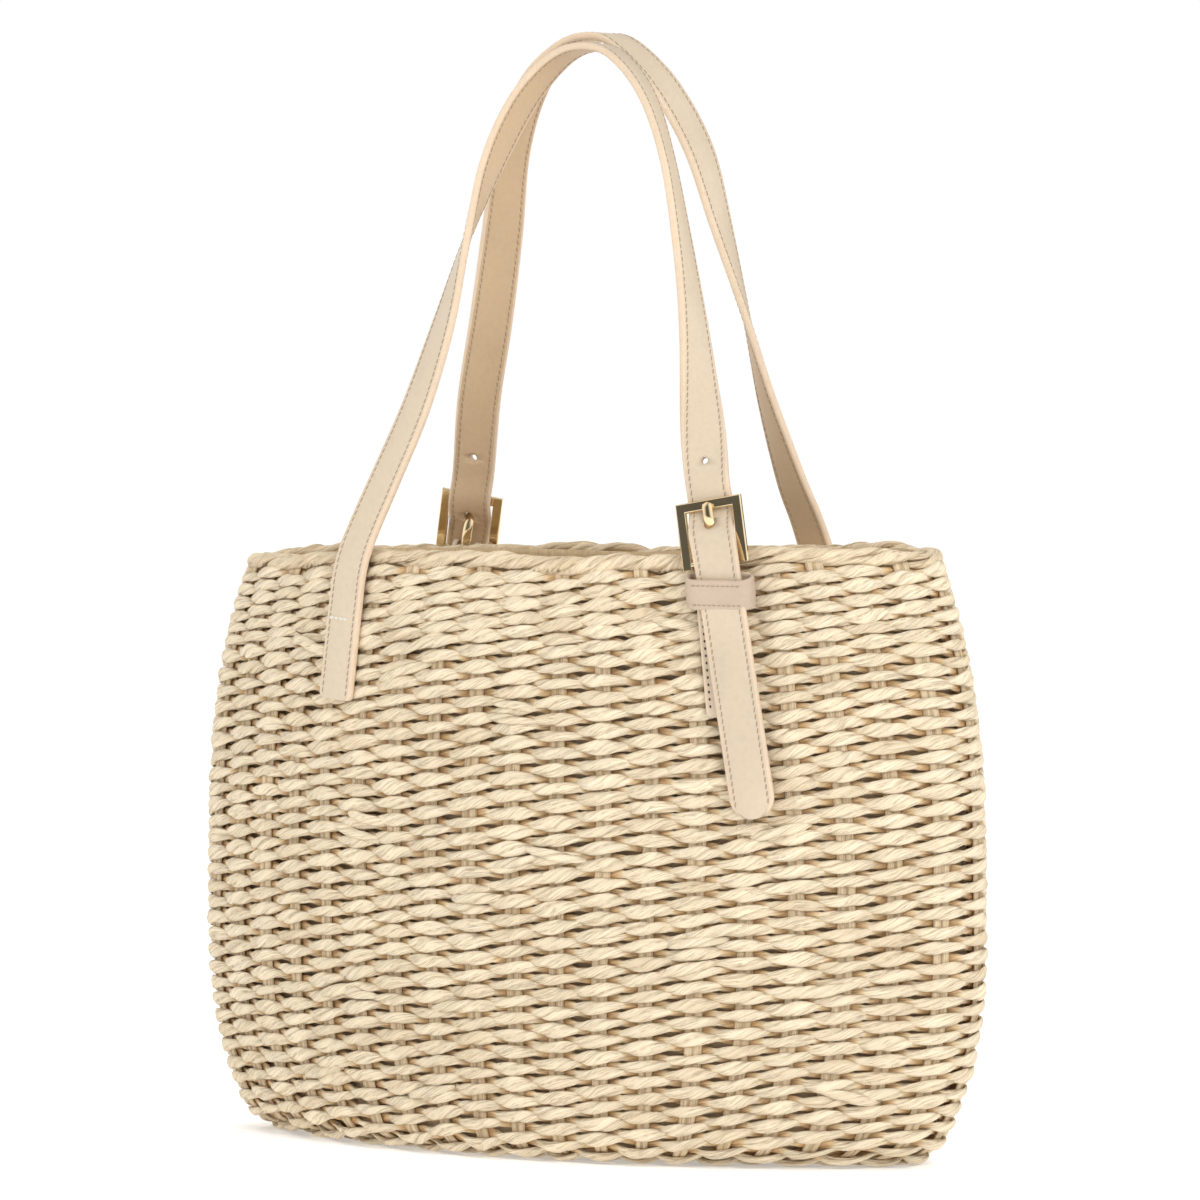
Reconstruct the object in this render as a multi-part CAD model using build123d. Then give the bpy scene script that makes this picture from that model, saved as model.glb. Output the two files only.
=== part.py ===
from build123d import *
import math
import os

# Woven paper-straw beach bag with two leather shoulder straps.
# Frame: origin at the middle of the base, +X to the right, -Y towards the front, +Z up. Millimetres.

# Woven body, outer surface of the weave
BODY_HEIGHT = 252
BELLY_HEIGHT = 110       # where the bag is widest
BELLY_HALF_WIDTH = 185
BELLY_HALF_DEPTH = 70.5
RIM_TAPER_WIDTH = 22     # how much narrower each side is at the rim
RIM_TAPER_DEPTH = 7.2
FLOOR_TAPER_WIDTH = 25.5
FLOOR_TAPER_DEPTH = 6
CORNER_RADIUS = 12       # rounded edge between the wall and the base
BODY_STATIONS = [0, 1.5, 4, 8, 13, 22, 38, 60, 85, 110, 135, 160, 185, 210, 232, 252]
END_RADIUS = 24          # radius of the rounded ends of the oval plan
WEAVE_THICKNESS = 6.5    # stake with a cord on each side
WALL_TOP = 246
BORDER_RADIUS = 4.2      # rolled border of folded-down stakes
BORDER_CENTRE_Z = 250.5
LINING_THICKNESS = 0.8
TAPE_INSET = 10.2        # rim tape's outer face, measured in from the weave's outer surface
TAPE_BOTTOM = 230
TAPE_TOP = 252
ASSEMBLY_GAP = 0.15      # between pieces that are sewn or woven together

# Straps
STRAP_WIDTH = 19
STRAP_THICKNESS = 3.0    # two plies with a painted edge
PLY_GAP = 0.1            # glue line between the face and the backing
STATIONS_PER_KNOT = 3

# Sewn end of a strap, on the left of the front face
SEWN_FLEX_POINT = Vector(-87, -55.5, 229.5)   # where the strap bends above its cross stitches
SEWN_TURN = -17          # plan angle of the strap's width, follows the wall
SEWN_LEAN = 5            # the strap's top leans to the middle of the bag
SEWN_FOLLOW = 3.7        # the wall's own slope
SEWN_LENGTH = 38
FLEX_GAP = 4             # each side of the flex line

# Buckle, on the right of the front face
BAR_POINT = Vector(88.6, -56.8, 252.5)        # centre of the buckle's lower bar
BUCKLE_TURN = 10
BUCKLE_TILT = 10         # the bars rise to the right
HANDLE_LEAN = 9          # handle and buckle lean in over the bag's mouth
BUCKLE_WIDTH = 28.5
BUCKLE_BAR_SPACING = 24
BUCKLE_BAR_WIDTH = 4.2
BUCKLE_THICKNESS = 2.4
PIVOT_BAR_RADIUS = 1.25
PRONG_WIDTH = 4.4
PRONG_THICKNESS = 1.7
PRONG_RING_RADIUS = 1.4
PRONG_HOLE_Z = 14.6      # middle of the oblong hole, above the lower bar
PRONG_HOLE_WIDTH = 5.8
PRONG_HOLE_LENGTH = 8.8
SPARE_HOLE_Z = 43
SPARE_HOLE_RADIUS = 1.6

# Leather below the buckle
TAIL_LEAN = 8.5
TAIL_SLOPE = 1.6         # the tail leans in to the wall as it goes down
TAIL_LENGTH = 107
TAIL_SHIFT = 2           # the tail sits to the right of the buckle's middle
TAIL_HINGE_Z = -28
TAIL_HINGE_GAP = 1.5     # each side of the tail's bend
STRAP_OVER_TAB = 4.6     # strap's inner face, in front of the bar's centre
TAB_WIDTH = 18
TAB_SHIFT = -0.5         # the tab sits a little towards the middle of the bag
TAB_TURN = 3             # and hangs more upright than the tail
TAB_NECK_WIDTH = 11.6
TAB_PLY = 1.1
TAB_LOOP_RADIUS = 3.2
TAB_THICKNESS = 2.4
TAB_LENGTH = 64
TAB_SLOT_WIDTH = 7.8
KEEPER_TOP = -6
KEEPER_HEIGHT = 13
KEEPER_WIDTH = 28.4
KEEPER_PLY = 1.4
KEEPER_SHIFT = 0.9
KEEPER_TURN = 9          # it hangs level, across the leaning tail

# Handle routes from the sewn end to the buckle: x, y, z and the plan angle of the strap's width
FRONT_ROUTE = [
    (-86.6, -55.2, 233.5, -17),
    (-85.6, -54.1, 245, -17.5),
    (-83.2, -52.6, 256, -18.5),
    (-78.5, -50.4, 269, -20),
    (-72, -47.6, 285, -21),
    (-60.5, -41, 316, -25),
    (-51, -33.5, 352, -37),
    (-43.5, -26.5, 388, -62),
    (-34.5, -19.5, 421, -92),
    (-22.8, -13.5, 447, -101),
    (-8, -10.4, 463.5, -98),
    (6, -9.9, 468.5, -94),
    (20, -10.6, 464.5, -88),
    (35.5, -13.9, 447.5, -82),
    (48, -19.6, 420.5, -77),
    (58.5, -26.8, 386, -83),
    (67, -33.8, 353, -96),
    (73.5, -40.2, 320, -122),
]
BACK_ROUTE = [
    (-86.6, -55.2, 233.5, -17),
    (-85.6, -54.1, 245, -17.5),
    (-83.2, -52.6, 256, -18.5),
    (-79.5, -50.4, 269, -22),
    (-74, -47.6, 285, -27),
    (-66, -41, 318, -45),
    (-59.5, -33.5, 354, -66),
    (-51.5, -26, 392, -88),
    (-43.5, -19.5, 426, -102),
    (-29.8, -13.5, 453, -107),
    (-13.2, -10.4, 470, -108),
    (-1, -9.9, 474, -106),
    (14, -10.6, 470, -103),
    (32, -13.9, 455, -106),
    (46.3, -20, 427, -115),
    (55, -27, 390, -131),
    (64, -34, 354, -146),
    (73.5, -40.8, 320, -158),
]
# The prong, from its ring through the strap's hole to the upper bar: y and z in the buckle's own frame
PRONG_ROUTE = [(1.7, 0.8), (1.2, 7), (0.5, 12), (-1.5, 16.5), (-2.45, 20.5), (-2.5, 26)]
# The same strap inside the buckle: y (inwards) and z in the buckle's own frame
THREADED_ROUTE = [
    (2.8, 38),
    (3.4, 26),
    (3.2, 21.5),
    (1.0, 17),
    (-2.2, 12.5),
]


def oval_face(half_width, half_depth, inset, z):
    """Plan of the bag: two long shallow arcs joined by two tight end arcs, all tangent."""
    face_centre = half_width - END_RADIUS
    face_radius = (face_centre**2 + half_depth**2 - END_RADIUS**2) / (2 * (half_depth - END_RADIUS))
    turn = math.asin(face_centre / (face_radius - END_RADIUS))
    long_radius = face_radius - inset
    depth = half_depth - inset
    corner_x = long_radius * math.sin(turn)
    corner_y = long_radius * math.cos(turn) - (long_radius - depth)
    end_x = half_width - inset
    edges = [
        ThreePointArc((-corner_x, -corner_y), (0, -depth), (corner_x, -corner_y)),
        ThreePointArc((corner_x, -corner_y), (end_x, 0), (corner_x, corner_y)),
        ThreePointArc((corner_x, corner_y), (0, depth), (-corner_x, corner_y)),
        ThreePointArc((-corner_x, corner_y), (-end_x, 0), (-corner_x, -corner_y)),
    ]
    return Pos(0, 0, z) * Face(Wire(edges))


def body_half_sizes(z):
    """Half width and half depth of the weave's outer surface at a height."""
    if z >= BELLY_HEIGHT:
        taper = ((z - BELLY_HEIGHT) / (BODY_HEIGHT - BELLY_HEIGHT)) ** 2.2
        return BELLY_HALF_WIDTH - RIM_TAPER_WIDTH * taper, BELLY_HALF_DEPTH - RIM_TAPER_DEPTH * taper
    taper = ((BELLY_HEIGHT - z) / BELLY_HEIGHT) ** 3
    corner_drop = max(CORNER_RADIUS - z, 0)
    corner = CORNER_RADIUS - math.sqrt(CORNER_RADIUS**2 - corner_drop**2)
    half_width = BELLY_HALF_WIDTH - FLOOR_TAPER_WIDTH * taper - corner
    half_depth = BELLY_HALF_DEPTH - FLOOR_TAPER_DEPTH * taper - corner
    return half_width, half_depth


def body_form(inset):
    """Solid bag shape, pulled in from the weave's outer surface."""
    return loft([oval_face(*body_half_sizes(z), inset, z) for z in BODY_STATIONS])


def slab(bottom, top):
    return Pos(0, 0, (bottom + top) / 2) * Box(500, 300, top - bottom)


def shell_band(outer_inset, inner_inset, bottom, top):
    return (body_form(outer_inset) - body_form(inner_inset)) & slab(bottom, top)


def rim_border():
    half_width, half_depth = body_half_sizes(BODY_HEIGHT)
    path = oval_face(half_width, half_depth, BORDER_RADIUS - 0.2, BORDER_CENTRE_Z).outer_wire()
    start = path @ 0
    section = Plane(start, z_dir=path % 0) * Circle(BORDER_RADIUS)
    return sweep(section, path=path)


def tilted_plane(origin, turn, tilt, inward_lean):
    """Frame of a fitting: x along the strap's width, z up the strap, y into the bag."""
    turn, tilt, lean = math.radians(turn), math.radians(tilt), math.radians(inward_lean)
    width_dir = Vector(math.cos(turn) * math.cos(tilt), math.sin(turn) * math.cos(tilt), math.sin(tilt))
    upright = Vector(0, math.sin(lean), math.cos(lean))
    up_dir = (upright - width_dir * upright.dot(width_dir)).normalized()
    return Plane(origin, x_dir=width_dir, z_dir=up_dir)


SEWN_PLANE = tilted_plane(SEWN_FLEX_POINT, SEWN_TURN, -SEWN_LEAN, SEWN_FOLLOW)
BUCKLE_PLANE = tilted_plane(BAR_POINT, BUCKLE_TURN, BUCKLE_TILT, HANDLE_LEAN)
TAIL_PLANE = tilted_plane(BAR_POINT, BUCKLE_TURN, TAIL_LEAN, -TAIL_SLOPE)


def handle_stations(route):
    """Points along the strap, closely spaced on a smooth curve, each with the strap's width direction."""
    knots = [Vector(x, y, z) for x, y, z, turn in route]
    turns = [turn for x, y, z, turn in route]
    for y, z in THREADED_ROUTE:
        knots.append(BUCKLE_PLANE.from_local_coords(Vector(0, y, z)))
        turns.append(BUCKLE_TURN - 180)
    stations = []
    for index in range(len(knots) - 1):
        first, last = max(index - 1, 0), min(index + 2, len(knots) - 1)
        for step in range(STATIONS_PER_KNOT):
            weights = smooth_weights(step / STATIONS_PER_KNOT)
            rows = (first, index, index + 1, last)
            point = sum((knots[row] * weight for row, weight in zip(rows, weights)), Vector(0, 0, 0))
            turn = sum(turns[row] * weight for row, weight in zip(rows, weights))
            stations.append((point, width_direction(turn)))
    stations.append((knots[-1], width_direction(turns[-1])))
    return stations


def smooth_weights(t):
    """Weights of four neighbouring knots, for a curve that passes through the middle two."""
    return (
        (-t + 2 * t**2 - t**3) / 2,
        (2 - 5 * t**2 + 3 * t**3) / 2,
        (t + 4 * t**2 - 3 * t**3) / 2,
        (-(t**2) + t**3) / 2,
    )


def width_direction(turn):
    angle = math.radians(turn)
    return Vector(math.cos(angle), math.sin(angle), 0)


def strap_ply(stations, inner, outer):
    """One ply of the strap between two distances from its middle plane, lofted along the route."""
    sections = []
    for index, (point, width_dir) in enumerate(stations):
        before = stations[max(index - 1, 0)][0]
        after = stations[min(index + 1, len(stations) - 1)][0]
        along = (after - before).normalized()
        across = (width_dir - along * width_dir.dot(along)).normalized()
        face_dir = across.cross(along)
        middle = point + face_dir * ((inner + outer) / 2)
        sections.append(Plane(middle, x_dir=across, z_dir=along) * Rectangle(STRAP_WIDTH, outer - inner))
    return loft(sections, ruled=True)


def strap_holes():
    prong_hole = Pos(0, 0, PRONG_HOLE_Z) * extrude(Rot(90, 0, 0) * SlotOverall(
        PRONG_HOLE_LENGTH, PRONG_HOLE_WIDTH, rotation=90), 7, both=True)
    spare_hole = Pos(0, 2, SPARE_HOLE_Z) * Rot(90, 0, 0) * Cylinder(SPARE_HOLE_RADIUS, 14)
    return BUCKLE_PLANE * prong_hole + BUCKLE_PLANE * spare_hole


def sewn_end():
    length = SEWN_LENGTH - FLEX_GAP
    strip = Box(STRAP_WIDTH, STRAP_THICKNESS, length)
    strip = fillet(strip.edges().filter_by(Axis.Y).sort_by(Axis.Z)[:2], 2.5)
    return SEWN_PLANE * Pos(0, 0, -FLEX_GAP - length / 2) * strip


def buckle_frame():
    outer_height = BUCKLE_BAR_SPACING + BUCKLE_BAR_WIDTH
    window_width = BUCKLE_WIDTH - 2 * BUCKLE_BAR_WIDTH
    window_height = BUCKLE_BAR_SPACING - BUCKLE_BAR_WIDTH
    plate = Pos(0, 0, BUCKLE_BAR_SPACING / 2) * Box(BUCKLE_WIDTH, BUCKLE_THICKNESS, outer_height)
    plate = fillet(plate.edges().filter_by(Axis.Y), 0.8)
    plate = chamfer(plate.faces().sort_by(Axis.Y)[0].edges(), 0.4)
    window = Pos(0, 0, BUCKLE_BAR_SPACING / 2) * Box(window_width, 2 * BUCKLE_THICKNESS, window_height)
    bar_cut = Box(window_width, 2 * BUCKLE_THICKNESS, 2 * BUCKLE_BAR_WIDTH)
    bar = Rot(0, 90, 0) * Cylinder(PIVOT_BAR_RADIUS, window_width + 1)
    return BUCKLE_PLANE * (plate - window - bar_cut + bar)


def buckle_prong():
    ring = Rot(0, 90, 0) * (Cylinder(2.4, PRONG_WIDTH) - Cylinder(PRONG_RING_RADIUS, PRONG_WIDTH))
    route = Spline([(0, y, z) for y, z in PRONG_ROUTE])
    section = Plane(route @ 0, x_dir=(1, 0, 0), z_dir=route % 0) * Ellipse(PRONG_WIDTH / 2, PRONG_THICKNESS / 2)
    arm = sweep(section, path=route)
    hollow = Rot(0, 90, 0) * Cylinder(PRONG_RING_RADIUS, 2 * PRONG_WIDTH)
    return BUCKLE_PLANE * (ring + arm - hollow)


def buckle_tab():
    """Folded leather tab: a loop round the lower bar, with both plies sewn flat to the wall below."""
    loop_outer = TAB_LOOP_RADIUS + TAB_PLY
    loop = Rot(0, 90, 0) * (Cylinder(loop_outer, TAB_NECK_WIDTH) - Cylinder(TAB_LOOP_RADIUS, TAB_NECK_WIDTH))
    half = TAB_THICKNESS / 2
    centre_line = [(-1.5, -3.4), (-1.5, -26), (-2.2, -45), (-3.0, -TAB_LENGTH)]
    outline = [(y - half, z) for y, z in centre_line] + [(y + half, z) for y, z in reversed(centre_line)]
    profile = Plane.YZ * make_face(Polyline(*outline, close=True))
    flat = Rot(0, TAB_TURN, 0) * Pos(TAB_SHIFT, 0, 0) * extrude(profile, TAB_WIDTH / 2, both=True)
    neck_z = -7
    shoulder_cut = Pos(0, 0, neck_z / 2 + 1) * (
        Box(TAB_WIDTH + 6, 12, -neck_z + 2) - Box(TAB_NECK_WIDTH, 12, -neck_z + 2)
    )
    hollow = Rot(0, 90, 0) * Cylinder(TAB_LOOP_RADIUS, TAB_WIDTH)
    slot = Box(TAB_SLOT_WIDTH, 12, 11)
    return TAIL_PLANE * (loop + (flat - shoulder_cut - hollow) - slot)


def flat_strap(top, bottom):
    """Straight piece of strap in front of the tab."""
    middle_y = -(STRAP_OVER_TAB + STRAP_THICKNESS / 2)
    return Pos(TAIL_SHIFT, middle_y, (top + bottom) / 2) * Box(STRAP_WIDTH, STRAP_THICKNESS, top - bottom)


def strap_bridge():
    return TAIL_PLANE * flat_strap(-1, TAIL_HINGE_Z + TAIL_HINGE_GAP)


def strap_tail():
    tip_radius = STRAP_WIDTH / 2
    shaft = flat_strap(TAIL_HINGE_Z - TAIL_HINGE_GAP, -TAIL_LENGTH)
    shaft = fillet(shaft.edges().filter_by(Axis.Y).sort_by(Axis.Z)[:2], tip_radius - 0.5)
    return TAIL_PLANE * shaft


def keeper_loop():
    front = -(STRAP_OVER_TAB + STRAP_THICKNESS + 0.3)
    back = 0.0
    middle = (front + back) / 2
    depth = back - front
    inner_width = KEEPER_WIDTH - 2 * KEEPER_PLY
    outer = Box(KEEPER_WIDTH, depth + 2 * KEEPER_PLY - 0.3, KEEPER_HEIGHT)
    outer = fillet(outer.edges().filter_by(Axis.Z), 3)
    inner = Box(inner_width, depth, KEEPER_HEIGHT + 1)
    inner = fillet(inner.edges().filter_by(Axis.Z), 0.8)
    ring = outer - inner
    middle_z = KEEPER_TOP - KEEPER_HEIGHT / 2
    return TAIL_PLANE * Pos(KEEPER_SHIFT, middle, middle_z) * Rot(0, KEEPER_TURN, 0) * ring


def side_pieces(route):
    """Everything on one side of the bag, made as the front side."""
    stations = handle_stations(route)
    half = STRAP_THICKNESS / 2
    holes = strap_holes()
    return {
        "sewn_end": sewn_end(),
        "handle_face": strap_ply(stations, PLY_GAP / 2, half) - holes,
        "handle_backing": strap_ply(stations, -half, -PLY_GAP / 2) - holes,
        "buckle_frame": buckle_frame(),
        "buckle_prong": buckle_prong(),
        "buckle_tab": buckle_tab(),
        "strap_bridge": strap_bridge(),
        "strap_tail": strap_tail(),
        "keeper_loop": keeper_loop(),
    }


def body_pieces():
    base_inset = WEAVE_THICKNESS + ASSEMBLY_GAP
    lining_outer = WEAVE_THICKNESS + ASSEMBLY_GAP
    lining_inner = lining_outer + LINING_THICKNESS
    floor_bottom = WEAVE_THICKNESS + ASSEMBLY_GAP
    floor_top = floor_bottom + LINING_THICKNESS
    return {
        "woven_wall": shell_band(0, WEAVE_THICKNESS, 0, WALL_TOP),
        "woven_base": body_form(base_inset) & slab(0, WEAVE_THICKNESS),
        "rim_border": rim_border(),
        "lining_wall": shell_band(lining_outer, lining_inner, floor_bottom, WALL_TOP - 0.5),
        "lining_floor": body_form(lining_inner + ASSEMBLY_GAP) & slab(floor_bottom, floor_top),
        "rim_tape": shell_band(TAPE_INSET, TAPE_INSET + LINING_THICKNESS, TAPE_BOTTOM, TAPE_TOP),
    }


os.makedirs("parts", exist_ok=True)
pieces = body_pieces()
for side, route, turn in (("front", FRONT_ROUTE, 0), ("back", BACK_ROUTE, 180)):
    for name, solid in side_pieces(route).items():
        pieces[f"{side}_{name}"] = Rot(0, 0, turn) * solid
for name, solid in pieces.items():
    export_step(solid, f"parts/{name}.step")
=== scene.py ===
import math

import bpy
import numpy as np
from mathutils import Matrix, Vector


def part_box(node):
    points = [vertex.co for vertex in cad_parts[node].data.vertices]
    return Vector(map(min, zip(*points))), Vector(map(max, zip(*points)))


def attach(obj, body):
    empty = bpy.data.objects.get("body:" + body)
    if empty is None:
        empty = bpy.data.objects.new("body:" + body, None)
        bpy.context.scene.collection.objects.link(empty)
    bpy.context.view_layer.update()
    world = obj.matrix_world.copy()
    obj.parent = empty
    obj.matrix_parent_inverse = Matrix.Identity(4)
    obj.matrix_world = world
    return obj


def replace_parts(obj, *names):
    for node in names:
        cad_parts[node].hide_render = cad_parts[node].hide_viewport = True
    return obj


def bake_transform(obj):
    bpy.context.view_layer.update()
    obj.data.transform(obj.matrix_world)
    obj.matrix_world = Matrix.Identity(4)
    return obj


# Woven paper-straw beach bag with two leather shoulder straps and gold buckles.
# Shapes are worked out in millimetres and become metres in add_mesh.

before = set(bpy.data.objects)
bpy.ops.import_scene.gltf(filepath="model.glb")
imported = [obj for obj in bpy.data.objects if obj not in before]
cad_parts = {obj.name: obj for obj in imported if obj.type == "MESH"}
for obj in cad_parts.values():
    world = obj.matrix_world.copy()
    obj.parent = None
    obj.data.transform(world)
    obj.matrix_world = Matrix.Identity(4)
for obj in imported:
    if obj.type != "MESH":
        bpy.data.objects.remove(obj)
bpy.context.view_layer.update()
rng = np.random.default_rng(11)

MM = 0.001
PI = math.pi
BAG = "bag"

# Bag form
wall_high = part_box("woven_wall")[1]
BELLY_HALF_WIDTH = wall_high.x / MM
BELLY_HALF_DEPTH = wall_high.y / MM
BODY_HEIGHT = 252
BELLY_HEIGHT = 110
RIM_TAPER_WIDTH = 22
RIM_TAPER_DEPTH = 7.2
WIDTH_CURVE = 2.8         # how late the width starts to narrow above the belly
DEPTH_CURVE = 2.2
FLOOR_TAPER_WIDTH = 25.5
FLOOR_TAPER_DEPTH = 6
FLOOR_CURVE = 3
CORNER_RADIUS = 12
END_RADIUS = 24
SHARPEST_END = 1.5        # end radius of the smallest ring in the base
# How far the soft rim stands above its even height: share of the way round from the front's middle, rise
RIM_WAVE = [(0, 0.4), (0.09, 1.0), (0.13, 2.2), (0.18, 3.9), (0.22, 4.0), (0.25, 3.4),
            (0.28, 4.6), (0.33, 3.8), (0.42, 2.6), (0.5, 0.6), (0.6, 1.9), (0.69, 1.6),
            (0.74, -1.6), (0.78, -2.2), (0.83, 0.0), (0.91, 0.9), (1, 0.4)]
WAVE_FOOT = 150           # the wave starts at this height
WAVE_HEIGHT = 100         # and is whole this far above it

# Weave
STAKES = 40
STAKE_SPACING = 21.3      # at the belly
RIM_STAKE_SPACING = 19.6
STAKE_HALF_WIDTHS = [1.9, 3.6]    # near the middle of the base, and on the wall
STAKE_WIDENING = [30, 80]         # distances along the profile between which it widens
STAKE_HALF_THICKNESS = 1.2
STAKE_STEPS = 76
CORD_SIDES = 12
WEAVE_MIDDLE = 3.25       # depth of the weave's middle below its outer surface
BASE_MIDDLE = 3.7
BASE_SEAM_INSET = 62      # the innermost ring of the base
PROFILE_STEP = 2
TOP_ROW_Z = 245
TIGHT_ROWS = 11
TIGHT_PITCH = 2.85
ROW_PITCH = 3.55
BASE_PITCH = 3.8
LAST_ROW = 2.5            # the rows stop within this distance of the base's seam
BASE_EDGE = 14            # the base's rows start this far below the wall's foot
ROWS_PER_PIECE = 12
SPLICES = 56
SPLICE_STEPS = 11
JOINT_STEP = 15           # stakes between one row's joint and the next row's, each hidden behind a stake
CORD_SWING = 2.15         # how far a cord's middle goes in front of a stake and behind it
CORD_CLIMB = 0.6          # how far it slants between two stakes
CORD_TWIST = 38           # length of one turn of the twisted paper
CORD_HALF_HEIGHT = 1.82   # between two stakes
CORD_SWELL = 1.38         # how much taller it is where it crosses a stake
CORD_HALF_THICKNESS = 1.55
CORD_FLATTENING = 0.25    # how much thinner it is there

# Rolled border
BORDER_Z = 250.3
BORDER_STRANDS = 4
BORDER_STEPS = 560
BORDER_START = 0.89       # the strands' ends meet behind the front strap's sewn end
BORDER_TURN = 63          # length of one turn of the strands round each other
BORDER_TWIST = 45         # length of one turn of each strand's own paper
BORDER_REACH = 2.0        # from the border's middle to each strand's middle
BORDER_INSET = 0.7        # the border's middle, inside the weave's middle
HOLE_ROW_DROP = 2.6       # the row of machine stitch holes, below the border's middle
HOLE_ROW_HALF_HEIGHT = 0.55
HOLE_PITCH = 2.6

# Lining and rim tape
LINING_INSET = 7.4
LINING_BOTTOM = 7.2
LINING_TOP = 245.5
LINING_FLOOR_Z = 7.4
LINING_CORNER = 16        # height below which the lining turns in to its floor
LINING_THICKNESS = 0.7
LINING_COLUMNS = 240
TAPE_INSET = 10.6
TAPE_BOTTOM = 230
TAPE_TOP = 252.3

# Straps
STRAP_WIDTH = 19
STRAP_THICKNESS = 3
EDGE_RADIUS = 1.05
NARROWEST_END = EDGE_RADIUS + 1.2     # half width of a rounded tip's last ring
FACE_POINTS = 9
EDGE_POINTS = 6
SEWN_CORNER = 2.5
TAIL_CORNER = STRAP_WIDTH / 2 - 0.5
STITCH_OFFSET = 7.1       # from the strap's middle line
STITCH_PITCH = 2.9
STITCH_SHARE = 0.74       # how much of the pitch the thread covers
STITCH_RADIUS = 0.3
STRAP_HOLES = [(2.4, 0, 15.6), (1.5, 2, 43)]      # prong hole and spare hole: radius, y, z at the buckle
SEWN_FLEX_POINT = (-87, -55.5, 229.5)
SEWN_TURN = -17
SEWN_LEAN = 5
SEWN_FOLLOW = 3.7
SEWN_LENGTH = 38
CROSS_STITCH_DROP = 3.5   # below the flex point
CROSS_STITCHES = [-6.9, -4.2, -1.5, 1.2]
CROSS_STITCH_LENGTH = 2.1
CROSS_STITCH_RADIUS = 0.75
TAIL_LEAN = 8.5
TAIL_SLOPE = 1.6
TAIL_LENGTH = 107
TAIL_SHIFT = 2            # the tail sits to the right of the buckle's middle
TAIL_FRONT = 6.1          # the tail's middle, in front of the bar
TAIL_SPLIT_Z = -14        # the handle piece and the tail piece meet inside the keeper

# Buckles
BAR_POINT = (88.6, -56.8, 252.5)
BUCKLE_TURN = 10
BUCKLE_TILT = 10
HANDLE_LEAN = 9
BUCKLE_WIDTH = 28.5
BUCKLE_BAR_SPACING = 24
BUCKLE_BAR_WIDTH = 4.2
BUCKLE_THICKNESS = 2.4
BUCKLE_BEVEL = 0.14
PIVOT_RADIUS = 1.25
PRONG_HALF_WIDTH = 2.25
PRONG_HALF_THICKNESS = 1.25
PRONG_TIP = 1.6
# The prong's coil round the bar: x, radius
COIL_OUTLINE = [(-1.5, 1.45), (-1.8, 1.75), (-1.8, 2.2), (-1.4, 2.5),
                (1.4, 2.5), (1.8, 2.2), (1.8, 1.75), (1.5, 1.45)]
TAB_WIDTH = 18
TAB_SHIFT = -0.5
TAB_TURN = 3
TAB_LENGTH = 64
TAB_CORNER = 3
TAB_SQUASH = 0.8          # its thickness as a share of the strap's
TAB_STITCH_INSET = 2.2
TAB_STITCH_PITCH = 3.0
LUG_RADIUS = 3.75         # from the bar's middle to the middle of the lug's leather
LUG_HALF_PLY = 0.55
LUGS = [(-5.8, -3.9), (3.9, 5.8)]
KEEPER_TOP = -6
KEEPER_HEIGHT = 13
KEEPER_WIDTH = 28.4
KEEPER_SHIFT = 0.9
KEEPER_TURN = 9           # it hangs level, across the leaning tail
KEEPER_TILT = 15          # its back stands a little higher than its front
KEEPER_HALF_PLY = 0.85
KEEPER_EDGE = 0.8
KEEPER_BACK = 0.05
KEEPER_GAP = 0.35         # in front of the tail
KEEPER_STITCH_Z = 4.2
KEEPER_STITCH_X = (-10.4, 10, 2.1)    # first, limit, pitch
KEEPER_STITCH_LENGTH = 1.5

# Studio
AMBIENT = 0.8
FLOOR_SIZE = 30000
LAMPS = [("key", (1.9, -1.5, 1.7), 1.4, 30),      # place, size, power
         ("fill", (-1.7, -2.0, 1.2), 1.6, 9),
         ("back", (0.2, 1.9, 1.9), 1.4, 10)]
LAMP_TARGET = (0, 0, 0.2)
CAMERA_AZIMUTH = 27
CAMERA_DISTANCE = 2.6
CAMERA_HEIGHT = 0.32
CAMERA_TARGET = (0.0051, 0.0026, 0.2336)
CAMERA_LENS = 182.8
CAMERA_FILM = 36

# Route of each strap's middle line from its sewn end to the buckle: x, y, z, plan angle of its width
ROUTE_START = [(-86.6, -55.2, 233.5, -17), (-85.6, -54.1, 245, -17.5), (-83.2, -52.6, 256, -18.5)]
FRONT_ROUTE = [
    (-78.5, -50.4, 269, -20), (-72, -47.6, 285, -21), (-60.5, -41, 316, -25),
    (-51, -33.5, 352, -37), (-43.5, -26.5, 388, -62), (-34.5, -19.5, 421, -92),
    (-22.8, -13.5, 447, -101), (-8, -10.4, 463.5, -98), (6, -9.9, 468.5, -94),
    (20, -10.6, 464.5, -88), (35.5, -13.9, 447.5, -82), (48, -19.6, 420.5, -77),
    (58.5, -26.8, 386, -83), (67, -33.8, 353, -96), (73.5, -40.2, 320, -122),
]
BACK_ROUTE = [
    (-79.5, -50.4, 269, -22), (-74, -47.6, 285, -27), (-66, -41, 318, -45),
    (-59.5, -33.5, 354, -66), (-51.5, -26, 392, -88), (-43.5, -19.5, 426, -102),
    (-29.8, -13.5, 453, -107), (-13.2, -10.4, 470, -108), (-1, -9.9, 474, -106),
    (14, -10.6, 470, -103), (32, -13.9, 455, -106), (46.3, -20, 427, -115),
    (55, -27, 390, -131), (64, -34, 354, -146), (73.5, -40.8, 320, -158),
]
# The strap inside the buckle (x, y, z) and the prong (y, z) in the buckle's own directions; y is inwards
THREADED_ROUTE = [(0, 2.8, 38), (0, 3.4, 26), (0, 3.2, 21.5), (0, 1.0, 17), (0.3, -2.2, 12.5),
                  (1.2, -4.5, 7)]
PRONG_ROUTE = [(1.7, 0.8), (1.6, 6), (1.2, 10), (0.3, 13), (-1.2, 15.6), (-2.3, 18.5), (-2.6, 24.8)]
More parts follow.
